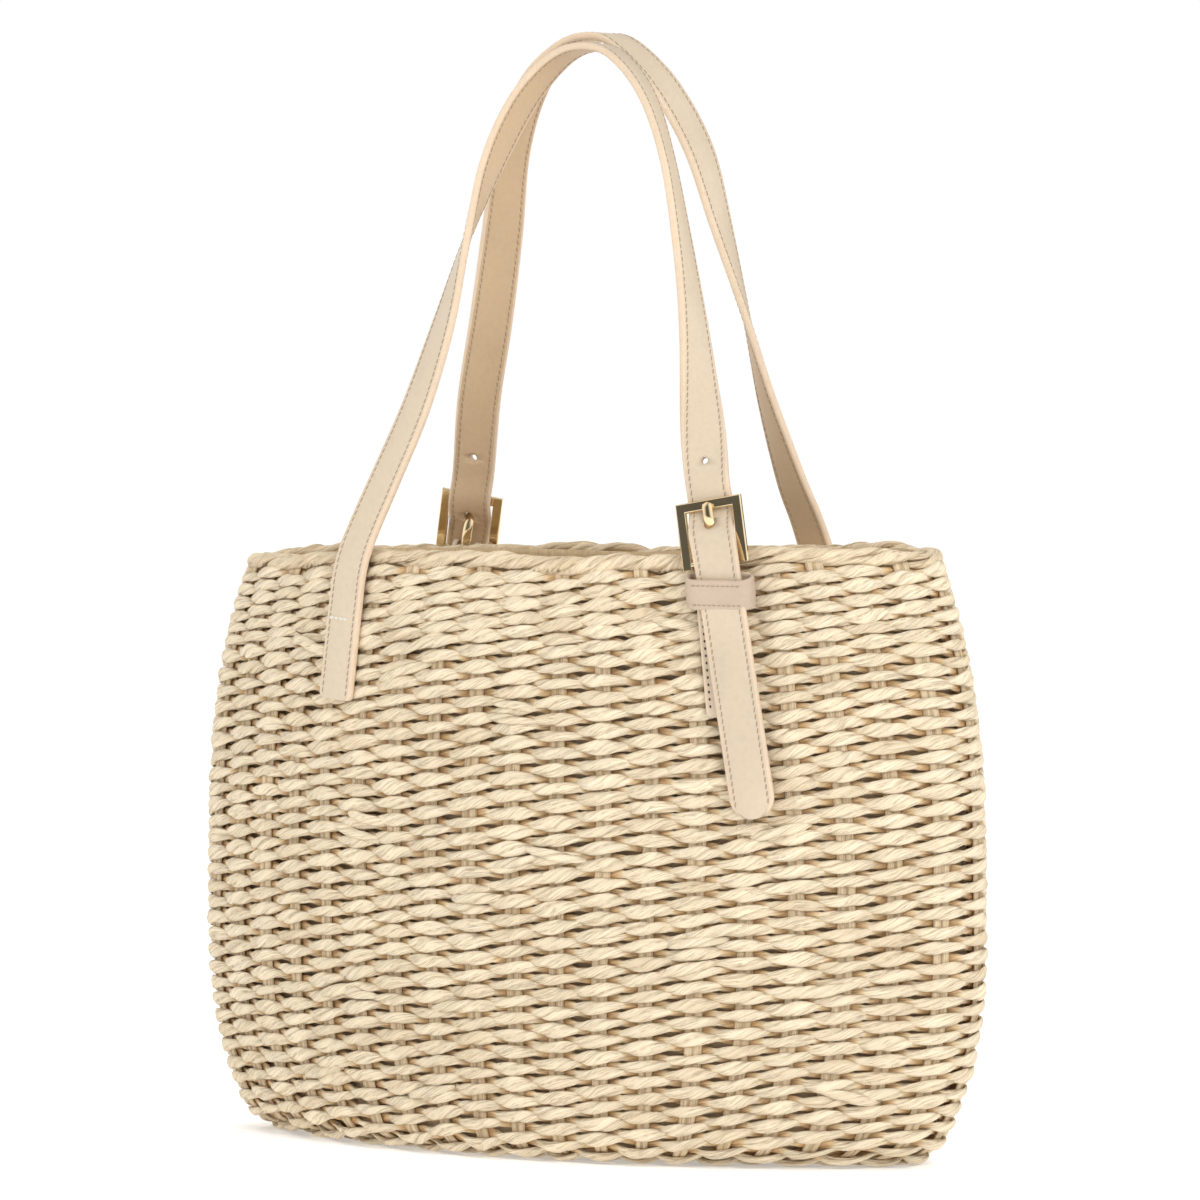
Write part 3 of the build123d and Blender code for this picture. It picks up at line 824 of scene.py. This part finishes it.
def lining():
    """Cotton lining with soft upright folds, its floor, and the ribbed tape that covers its top edge."""
    share = np.arange(LINING_COLUMNS) / LINING_COLUMNS
    heights = np.concatenate([[LINING_BOTTOM, 8, 9.5, 12, 16], np.linspace(22, LINING_TOP, 34)])
    folds = sum(around_noise(0.55, count, share) for count in (26, 60))
    drift = around_noise(0.6, 22, share)
    insets = []
    for z in heights:
        loose = math.sin(PI * np.clip((z - 7) / (LINING_TOP - 7), 0, 1)) ** 0.5
        rounding = 5 * (1 - math.sqrt(1 - np.clip((LINING_CORNER - z) / 9, 0, 1) ** 2))
        insets.append(LINING_INSET + rounding + loose * (1.5 + np.clip(folds + drift * z / 250, -1.3, 2.2)))
    wall = cloth_band("lining_cloth", lining_cloth, insets, heights)
    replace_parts(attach(wall, BAG), "lining_wall")

    rings = np.linspace(LINING_INSET + 4.6, BASE_SEAM_INSET, 14)
    floor_z = [LINING_FLOOR_Z + 0.35 + 0.3 * np.sin(ring / 5) * np.cos(7 * share) for ring in rings]
    top = np.stack([inset_point(share, ring, z) for ring, z in zip(rings, floor_z)])
    bottom = top[::-1] - np.array([0, 0, LINING_THICKNESS])
    points = np.vstack([top, bottom])
    floor = add_mesh("lining_floor_cloth", points.reshape(-1, 3),
                     grid_faces(len(points), LINING_COLUMNS, True, True), [lining_cloth])
    add_attribute(floor, "weft", points.reshape(-1, 3))
    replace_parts(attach(floor, BAG), "lining_floor")

    wave = around_noise(0.25, 50, share)
    heights = np.linspace(TAPE_BOTTOM, TAPE_TOP, 12)
    tape = cloth_band("rim_tape_cloth", tape_cloth, [TAPE_INSET + wave for _ in heights], heights)
    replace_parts(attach(tape, BAG), "rim_tape")
    return wall, floor, tape


# ---- straps and buckles

def fitting_frame(origin, turn, tilt, lean):
    """Place and directions of a fitting: along the strap's width, inwards and up the strap."""
    turn, tilt, lean = math.radians(turn), math.radians(tilt), math.radians(lean)
    width = np.array([math.cos(turn) * math.cos(tilt), math.sin(turn) * math.cos(tilt), math.sin(tilt)])
    upright = np.array([0, math.sin(lean), math.cos(lean)])
    up = unit(upright - width * upright.dot(width))
    return np.array(origin, float), np.stack([width, np.cross(up, width), up])


SEWN = fitting_frame(SEWN_FLEX_POINT, SEWN_TURN, -SEWN_LEAN, SEWN_FOLLOW)
BUCKLE = fitting_frame(BAR_POINT, BUCKLE_TURN, BUCKLE_TILT, HANDLE_LEAN)
TAIL = fitting_frame(BAR_POINT, BUCKLE_TURN, TAIL_LEAN, -TAIL_SLOPE)
TURNS = {"front": 1, "back": -1}      # the back side is the front side turned half round
STRAP_TURN = BUCKLE_TURN - 180        # plan angle of the strap's width at the buckle


def placed(fitting, points):
    """Points given in a fitting's own directions."""
    origin, directions = fitting
    return origin + np.asarray(points, float) @ directions


def on_side(side, points):
    return np.asarray(points, float) * (TURNS[side], TURNS[side], 1)


def strap_route(route):
    """The whole strap's middle line with its width's plan angle, from its sewn end into the keeper."""
    rows = [(*placed(SEWN, (0, 0, z)), SEWN_TURN) for z in (-SEWN_LENGTH, -28, -18, -9, -3)]
    rows += ROUTE_START + route
    rows += [(*placed(BUCKLE, place), STRAP_TURN) for place in THREADED_ROUTE]
    rows += tail_rows((0, -5, -9, TAIL_SPLIT_Z))
    return refined_ends(even_spacing(smooth_curve(rows, 12), 2.2)[::-1], SEWN_CORNER)[::-1]


def tail_rows(heights):
    """Rows of the tail's middle line at heights over the bar."""
    return [(*placed(TAIL, (TAIL_SHIFT, -TAIL_FRONT, z)), STRAP_TURN) for z in heights]


def tail_route():
    """The tail's middle line from the keeper to its tip."""
    rows = smooth_curve(tail_rows((TAIL_SPLIT_Z, -40, -70, -TAIL_LENGTH)), 12)
    return refined_ends(even_spacing(rows, 2.0), TAIL_CORNER)


def tab_route():
    """The tab's middle line from the bar down the wall."""
    turn = math.radians(TAB_TURN)
    centre = [(TAB_SHIFT + z * math.sin(turn), y, z * math.cos(turn)) for y, z in TAB_ROUTE]
    rows = [(*placed(TAIL, place), STRAP_TURN) for place in centre]
    return refined_ends(even_spacing(smooth_curve(rows, 8), 2.0), TAB_CORNER)


def refined_ends(rows, distance):
    """Adds rows near the end, so that a rounded tip is smooth."""
    length = lengths_along(rows[:, :3])
    extra = length[-1] - distance * (1 - np.sin(np.linspace(0, PI / 2, 14)))
    wanted = np.concatenate([length[length < length[-1] - distance], extra])
    return rows_at(wanted, length, rows)


def route_frames(rows):
    """Directions at each row of a route: along, across the width and out of the face."""
    points = rows[:, :3]
    along = unit(np.gradient(points, axis=0))
    turn = np.radians(rows[:, 3])
    width = np.stack([np.cos(turn), np.sin(turn), 0 * turn], -1)
    across = unit(width - along * np.sum(width * along, -1, keepdims=True))
    return points, along, across, np.cross(across, along)


def strap_section(half_width):
    """Outline of the strap: face, painted edge, backing, painted edge, with the stitch lines pressed in."""
    half = STRAP_THICKNESS / 2
    flat = half_width - EDGE_RADIUS
    line = STITCH_OFFSET * half_width / (STRAP_WIDTH / 2)
    marks = [(-flat, 0), (-line - 0.8, 0.1), (-line, -0.12), (-line + 0.8, 0.12), (0, 0.2),
             (line - 0.8, 0.12), (line, -0.12), (line + 0.8, 0.1), (flat, 0)]
    side = [(flat + EDGE_RADIUS * math.sin(angle), half - EDGE_RADIUS + EDGE_RADIUS * math.cos(angle))
            for angle in np.radians([30, 60, 90])]
    face = [(a, half + rise) for a, rise in marks]
    right = side + [(a, -b) for a, b in reversed(side)]
    back = [(-a, -b) for a, b in face]
    left = [(-a, -b) for a, b in right]
    return np.array(face + right + back + left)


def rounded_half_width(half, corner, distance):
    """Half width of a strap at a distance from an end with rounded corners."""
    if distance >= corner:
        return half
    return half - corner + math.sqrt(corner**2 - (corner - distance) ** 2)


def strap_rings(rows, width, start_corner, end_corner, squash=1):
    """Points of a strap along its route, one outline after another."""
    points, along, across, face = route_frames(rows)
    length = lengths_along(points)
    rings = []
    for index, place in enumerate(length):
        half_width = min(rounded_half_width(width / 2, start_corner, place),
                         rounded_half_width(width / 2, end_corner, length[-1] - place))
        outline = strap_section(max(half_width, NARROWEST_END)) * (1, squash)
        rings.append(points[index] + outline[:, :1] * across[index] + outline[:, 1:] * face[index])
    return np.vstack(rings)


def strap_faces(rings):
    """Faces of a strap, and which of them are face leather (0), painted edge (1) and backing (2)."""
    edge = [1] * (EDGE_POINTS + 1)
    finishes = [0] * (FACE_POINTS - 1) + edge + [2] * (FACE_POINTS - 1) + edge
    return tube_faces(rings, len(finishes)), finishes * (rings - 1) + [1, 1]


def strap_mesh(name, side, rows, start_corner, end_corner):
    """Strap with a face, a backing and painted edges; its ends are rounded by the radii given."""
    faces, finishes = strap_faces(len(rows))
    points = strap_rings(rows, STRAP_WIDTH, start_corner, end_corner)
    piece = add_mesh(name, points, faces, [leather, edge_paint, backing], finishes)
    if side == "back":
        piece.data.transform(Matrix.Rotation(PI, 4, "Z"))
    return piece


def capsules(starts, ends, radius, sides=6):
    """Points and faces of short rounded threads between pairs of points."""
    starts, ends = np.asarray(starts, float), np.asarray(ends, float)
    along = unit(ends - starts)
    helper = np.where(np.abs(along[:, 2:]) < 0.9, [[0, 0, 1.0]], [[1.0, 0, 0]])
    first = unit(np.cross(along, helper))
    second = np.cross(along, first)
    angle = 2 * PI * np.arange(sides) / sides
    points, faces = [], []
    ring = (first[:, None, :] * np.cos(angle)[None, :, None]
            + second[:, None, :] * np.sin(angle)[None, :, None])
    for share, size in ((0.0, 0.35), (0.12, 0.85), (0.5, 1.0), (0.88, 0.85), (1.0, 0.35)):
        middle = starts + (ends - starts) * share
        points.append(middle[:, None, :] + ring * radius * size)
    points = np.stack(points, 1).reshape(-1, 3)
    for index in range(len(starts)):
        faces += tube_faces(5, sides, index * 5 * sides)
    return points, faces


def stitch_lines(rows, start, end):
    """The stitches along both edges of a strap, on its face and on its backing."""
    points, along, across, face = route_frames(rows)
    length = lengths_along(points)
    starts, ends = [], []
    for side in (-1, 1):
        for edge in (-1, 1):
            for place in np.arange(start, length[-1] - end, STITCH_PITCH):
                for found, distance, slant in ((starts, place, -0.22),
                                               (ends, place + STITCH_PITCH * STITCH_SHARE, 0.22)):
                    middle, way, out = (rows_at(distance, length, part) for part in (points, across, face))
                    found.append(middle + way * (edge * STITCH_OFFSET + slant)
                                 + out * side * (STRAP_THICKNESS / 2 - 0.02))
    return capsules(starts, ends, STITCH_RADIUS)


def cut_holes(piece, side):
    """Prong hole and spare hole through the strap."""
    cutters = []
    angle = 2 * PI * np.arange(20) / 20
    for radius, y, z in STRAP_HOLES:
        rings = [placed(BUCKLE, np.stack([radius * np.cos(angle), np.full(20, y + depth),
                                          z + radius * np.sin(angle)], -1)) for depth in (-9, 9)]
        cutters.append(add_mesh("cutter", on_side(side, np.vstack(rings)), tube_faces(2, 20),
                                [edge_paint], smooth=False))
    for cutter in cutters:
        modifier = piece.modifiers.new("hole", "BOOLEAN")
        modifier.object = cutter
        modifier.solver = "EXACT"
        modifier.material_mode = "TRANSFER"
    bpy.context.view_layer.update()
    result = bpy.data.meshes.new_from_object(piece.evaluated_get(bpy.context.evaluated_depsgraph_get()))
    piece.modifiers.clear()
    piece.data = result
    for cutter in cutters:
        bpy.data.objects.remove(cutter)


def handle_blend(piece):
    """Bakes the strap's placement into its points."""
    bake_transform(piece)


def tail_blend(piece):
    """Bakes the tail's placement into its points."""
    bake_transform(piece)


def strap(side, route):
    """One strap from its sewn end, over the top and through the buckle into the keeper."""
    rows = strap_route(route)
    piece = strap_mesh(f"{side}_strap", side, rows, SEWN_CORNER, 0)
    cut_holes(piece, side)
    handle_blend(piece)
    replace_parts(piece, f"{side}_sewn_end", f"{side}_handle_face", f"{side}_handle_backing",
                f"{side}_strap_bridge")
    points, faces = stitch_lines(rows, 2.2, 1)
    threads = add_mesh(f"{side}_strap_stitches", on_side(side, points), faces, [thread])
    handle_blend(threads)


def strap_end(side):
    """The strap's free end, from the keeper to its rounded tip."""
    rows = tail_route()
    tail = strap_mesh(f"{side}_strap_end", side, rows, 0, TAIL_CORNER)
    tail_blend(tail)
    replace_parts(tail, f"{side}_strap_tail")
    points, faces = stitch_lines(rows, 1, 7.5)
    threads = add_mesh(f"{side}_strap_end_stitches", on_side(side, points), faces, [thread])
    tail_blend(threads)


def cross_stitches(side):
    """Thick white stitches across the strap at the top of its sewn end."""
    starts = [(x, -STRAP_THICKNESS / 2 - 0.1, -CROSS_STITCH_DROP) for x in CROSS_STITCHES]
    ends = [(x + CROSS_STITCH_LENGTH, y, z - 0.25) for x, y, z in starts]
    points, faces = capsules(placed(SEWN, starts), placed(SEWN, ends), CROSS_STITCH_RADIUS, 8)
    piece = add_mesh(f"{side}_cross_stitch", on_side(side, points), faces, [white_thread])
    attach(piece, BAG)


def buckle_frame(side):
    """Flat bevelled frame, open at the foot, with a round bar between its legs."""
    half_width, top = BUCKLE_WIDTH / 2, BUCKLE_BAR_SPACING + BUCKLE_BAR_WIDTH / 2
    foot, bar, half = -BUCKLE_BAR_WIDTH / 2, BUCKLE_BAR_WIDTH, BUCKLE_THICKNESS / 2
    outline = [(0, 0.5 - half), (0.45, -half), (bar - 0.35, -half), (bar, 0.4 - half),
               (bar, half - 0.4), (bar - 0.35, half), (0.45, half), (0, half - 0.5)]
    rings = []
    for x, z, mitre in ((-1, foot, 0), (-1, top, 1), (1, top, 1), (1, foot, 0)):
        rings += [(x * (half_width - inset), y, z - inset * mitre) for inset, y in outline]
    faces = tube_faces(4, len(outline))
    faces += tube_faces(2, 20, len(rings))
    end = half_width - bar + 0.5
    for x in (-end, end):
        rings += [(x, PIVOT_RADIUS * math.cos(angle), PIVOT_RADIUS * math.sin(angle))
                  for angle in 2 * PI * np.arange(20) / 20]
    piece = add_mesh(f"{side}_buckle", on_side(side, placed(BUCKLE, rings)), faces, [gold])
    soften(piece, BUCKLE_BEVEL)
    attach(piece, f"{side}_handle")
    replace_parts(piece, f"{side}_buckle_frame")


def soften(piece, width):
    """Small rounded bevels on sharp edges, which catch the light."""
    bevel = piece.modifiers.new("bevel", "BEVEL")
    bevel.width = width * MM
    bevel.segments = 2
    bevel.limit_method = "ANGLE"
    bevel.angle_limit = math.radians(25)
    piece.modifiers.new("normals", "WEIGHTED_NORMAL").keep_sharp = True


def buckle_prong(side):
    """Polished prong, coiled round the bar and curved out through the strap on to the upper bar."""
    sides = 20
    path = smooth_curve(PRONG_ROUTE, 5)
    length = lengths_along(path)
    points = []
    for (y, z), (along_y, along_z), reached in zip(path, unit(np.gradient(path, axis=0)), length):
        past = max(reached - length[-1] + PRONG_TIP, 0)
        tip = math.sqrt(max(1 - past**2 / PRONG_TIP**2, 0.02))
        for angle in 2 * PI * np.arange(sides) / sides:
            thick = PRONG_HALF_THICKNESS * tip * math.sin(angle)
            points.append((PRONG_HALF_WIDTH * tip * math.cos(angle),
                           y - along_z * thick, z + along_y * thick))
    faces = tube_faces(len(path), sides)
    coil_steps = 24
    faces += grid_faces(coil_steps, len(COIL_OUTLINE), True, True, len(points)).tolist()
    for angle in 2 * PI * np.arange(coil_steps) / coil_steps:
        points += [(x, radius * math.cos(angle), radius * math.sin(angle)) for x, radius in COIL_OUTLINE]
    piece = add_mesh(f"{side}_prong_metal", on_side(side, placed(BUCKLE, points)), faces, [gold])
    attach(piece, f"{side}_prong")
    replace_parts(piece, f"{side}_buckle_prong")


def tab_lug(left, right):
    """Strip of leather looped round the bar, between two places along it."""
    arc = [(LUG_RADIUS * math.sin(angle), LUG_RADIUS * math.cos(angle))
           for angle in np.radians(np.linspace(165, -165, 22))]
    path = np.array([(-0.9, -8.0), *arc, (-2.3, -8.0)])
    out = unit(np.gradient(path, axis=0)) @ np.array([[0, 1], [-1, 0]])
    corners = [(left, LUG_HALF_PLY), (right, LUG_HALF_PLY), (right, -LUG_HALF_PLY), (left, -LUG_HALF_PLY)]
    return [(x, y + away_y * rise, z + away_z * rise)
            for (y, z), (away_y, away_z) in zip(path, out) for x, rise in corners]


def buckle_tab(side):
    """Leather tab under the tail: two lugs round the bar and a flat part sewn to the wall."""
    rows = tab_route()
    parts = [strap_rings(rows, TAB_WIDTH, 0, TAB_CORNER, TAB_SQUASH)]
    faces, finishes = strap_faces(len(rows))
    for left, right in LUGS:
        lug = tab_lug(left, right)
        faces += tube_faces(len(lug) // 4, 4, sum(len(part) for part in parts))
        finishes += [0] * (len(lug) - 4) + [1, 1]
        parts.append(placed(TAIL, lug))
    piece = add_mesh(f"{side}_tab", on_side(side, np.vstack(parts)), faces,
                     [leather, edge_paint, backing], finishes)
    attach(piece, BAG)
    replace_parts(piece, f"{side}_buckle_tab")

    points, along, across, face = route_frames(rows)
    length = lengths_along(points)
    starts, ends = [], []
    for place in np.arange(8, length[-1] - 3, TAB_STITCH_PITCH):
        middle, toward, way, out = (rows_at(place, length, part) for part in (points, along, across, face))
        for edge in (-1, 1):
            spot = middle + way * edge * (TAB_WIDTH / 2 - TAB_STITCH_INSET) + out * 1.22
            starts.append(spot - toward * 0.55)
            ends.append(spot + toward * 0.55)
    # Near-black capsules standing for the stitch holes: painted shade.
    points, faces = capsules(starts, ends, 0.42)
    holes = add_mesh(f"{side}_tab_stitches", on_side(side, points), faces, [hole_shade])
    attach(holes, BAG)


def keeper_outline():
    """Section of the keeper's leather: rounded edges, and a front pressed in along both stitch lines."""
    thick, high = KEEPER_HALF_PLY - KEEPER_EDGE, KEEPER_HEIGHT / 2 - KEEPER_EDGE
    inside = 0.1 - KEEPER_HALF_PLY
    pressed = [(0.02, -0.5), (-0.14, 0), (0.06, 0.5)]
    return (quarter_arc(thick, high, KEEPER_EDGE, 0, 4)
            + quarter_arc(-thick, high, KEEPER_EDGE, 90, 4)
            + [(inside, 2), (inside, -2)]
            + quarter_arc(-thick, -high, KEEPER_EDGE, 180, 4)
            + quarter_arc(thick, -high, KEEPER_EDGE, 270, 4)
            + [(KEEPER_HALF_PLY + rise, z - KEEPER_STITCH_Z) for rise, z in pressed]
            + [(KEEPER_HALF_PLY + 0.16, 0)]
            + [(KEEPER_HALF_PLY + rise, KEEPER_STITCH_Z - z) for rise, z in reversed(pressed)])


def keeper(side):
    """Leather loop with round corners, and two rows of stitches on its front."""
    front = -(TAIL_FRONT + STRAP_THICKNESS / 2 + KEEPER_GAP)
    half_wide, half_deep = KEEPER_WIDTH / 2 - 0.7, (KEEPER_BACK - front) / 2 + 0.7
    middle_y, middle_z = (front + KEEPER_BACK) / 2, KEEPER_TOP - KEEPER_HEIGHT / 2
    tilt, turn = math.radians(KEEPER_TILT), math.radians(KEEPER_TURN)

    def on_loop(x, y, z):
        """Leans the loop and turns it level."""
        rise = z * math.cos(tilt) + y * math.sin(tilt)
        return (KEEPER_SHIFT + x * math.cos(turn) + rise * math.sin(turn),
                middle_y + y * math.cos(tilt) - z * math.sin(tilt),
                middle_z + rise * math.cos(turn) - x * math.sin(turn))

    corners = []
    for x, y, start, radius in ((1, -1, -90, 5), (1, 1, 0, 2.4), (-1, 1, 90, 2.4), (-1, -1, 180, 5)):
        corners += quarter_arc(x * (half_wide - radius), y * (half_deep - radius), radius, start, 8)
    loop = resample_ring(np.array(corners), 96)
    step = unit(np.roll(loop, -1, 0) - np.roll(loop, 1, 0))
    outwards = np.stack([step[:, 1], -step[:, 0]], -1)
    outline = keeper_outline()
    points = [on_loop(x + out_x * rise, y + out_y * rise, z)
              for (x, y), (out_x, out_y) in zip(loop, outwards) for rise, z in outline]
    faces = grid_faces(len(loop), len(outline), True, True).tolist()
    starts, ends = [], []
    y = -half_deep - KEEPER_HALF_PLY + 0.02
    for x in np.arange(*KEEPER_STITCH_X):
        for edge in (1, -1):
            starts.append(on_loop(x, y, edge * (KEEPER_STITCH_Z - 0.12)))
            ends.append(on_loop(x + KEEPER_STITCH_LENGTH, y, edge * (KEEPER_STITCH_Z + 0.12)))
    thread_points, thread_faces = capsules(starts, ends, 0.28)
    looks = [0] * len(faces) + [1] * len(thread_faces)
    faces += [[corner + len(points) for corner in face] for face in thread_faces]
    points = placed(TAIL, np.vstack([points, thread_points]))
    piece = add_mesh(f"{side}_keeper_leather", on_side(side, points), faces, [keeper_leather, thread], looks)
    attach(piece, f"{side}_keeper")
    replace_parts(piece, f"{side}_keeper_loop")


def resample_ring(ring, count):
    """Points an even distance apart round a closed ring."""
    closed = np.vstack([ring, ring[:1]])
    length = lengths_along(closed)
    return rows_at(np.arange(count) / count * length[-1], length, closed)


# ---- studio

def surroundings():
    """White to the camera, soft grey light on the bag, and brighter panels at the sides in its metal."""
    world = bpy.data.worlds.new("studio")
    bpy.context.scene.world = world
    world.use_nodes = True
    tree = world.node_tree
    tree.nodes.clear()
    path = add_node(tree, "ShaderNodeLightPath")
    place = add_node(tree, "ShaderNodeTexCoord").outputs["Generated"]
    way = add_node(tree, "ShaderNodeSeparateXYZ", {0: place})
    sideways = maths(tree, "ABSOLUTE", way.outputs["X"])
    panels = maths(tree, "ADD", sideways, maths(tree, "MULTIPLY", way.outputs["Z"], 0.5))
    mirrored = ramp(tree, panels, (0.36, grey(0.12)), (0.55, grey(0.6)), (0.8, grey(1.15)))
    soft = mix_colour(tree, "MIX", path.outputs["Is Glossy Ray"], (*grey(AMBIENT), 1), mirrored)
    seen = mix_colour(tree, "MIX", path.outputs["Is Camera Ray"], soft, (1, 1, 1, 1))
    background = add_node(tree, "ShaderNodeBackground", {"Color": seen, "Strength": 1.0})
    output = add_node(tree, "ShaderNodeOutputWorld")
    tree.links.new(background.outputs[0], output.inputs[0])


def studio_floor():
    """A large pale floor, a little lit by itself."""
    material, tree, shader = new_material("floor_white", Roughness=0.9, Specular_IOR_Level=0.1,
                                          Emission_Strength=0.3)
    shader.inputs["Base Color"].default_value = (0.93, 0.925, 0.915, 1)
    shader.inputs["Emission Color"].default_value = (1, 1, 1, 1)
    corners = [(-1, -1, 0), (1, -1, 0), (1, 1, 0), (-1, 1, 0)]
    floor = add_mesh("floor", np.array(corners) * FLOOR_SIZE, [(0, 1, 2, 3)], [material])


def aimed(name, data, place, target):
    """A lamp or a camera at a place, looking at a target."""
    thing = bpy.data.objects.new(name, data)
    bpy.context.scene.collection.objects.link(thing)
    thing.location = place
    thing.rotation_euler = (Vector(target) - Vector(place)).to_track_quat("-Z", "Y").to_euler()
    return thing


def lamps_and_camera():
    for name, place, size, power in LAMPS:
        data = bpy.data.lights.new(name, "AREA")
        data.size = size
        data.energy = power
        aimed(name, data, place, LAMP_TARGET).visible_glossy = False
    data = bpy.data.cameras.new("camera")
    data.lens = CAMERA_LENS
    data.sensor_width = CAMERA_FILM
    data.clip_start = 0.1
    data.clip_end = 200
    azimuth = math.radians(CAMERA_AZIMUTH)
    place = (CAMERA_DISTANCE * math.sin(azimuth), -CAMERA_DISTANCE * math.cos(azimuth), CAMERA_HEIGHT)
    bpy.context.scene.camera = aimed("camera", data, place, CAMERA_TARGET)
    bpy.context.scene.view_settings.view_transform = "Standard"


weave()
stakes()
splices()
rim_border()
lining_wall, lining_floor, rim_tape = lining()
for side, route in (("front", FRONT_ROUTE), ("back", BACK_ROUTE)):
    strap(side, route)
    cross_stitches(side)
    strap_end(side)
    buckle_frame(side)
    buckle_prong(side)
    buckle_tab(side)
    keeper(side)
surroundings()
studio_floor()
lamps_and_camera()
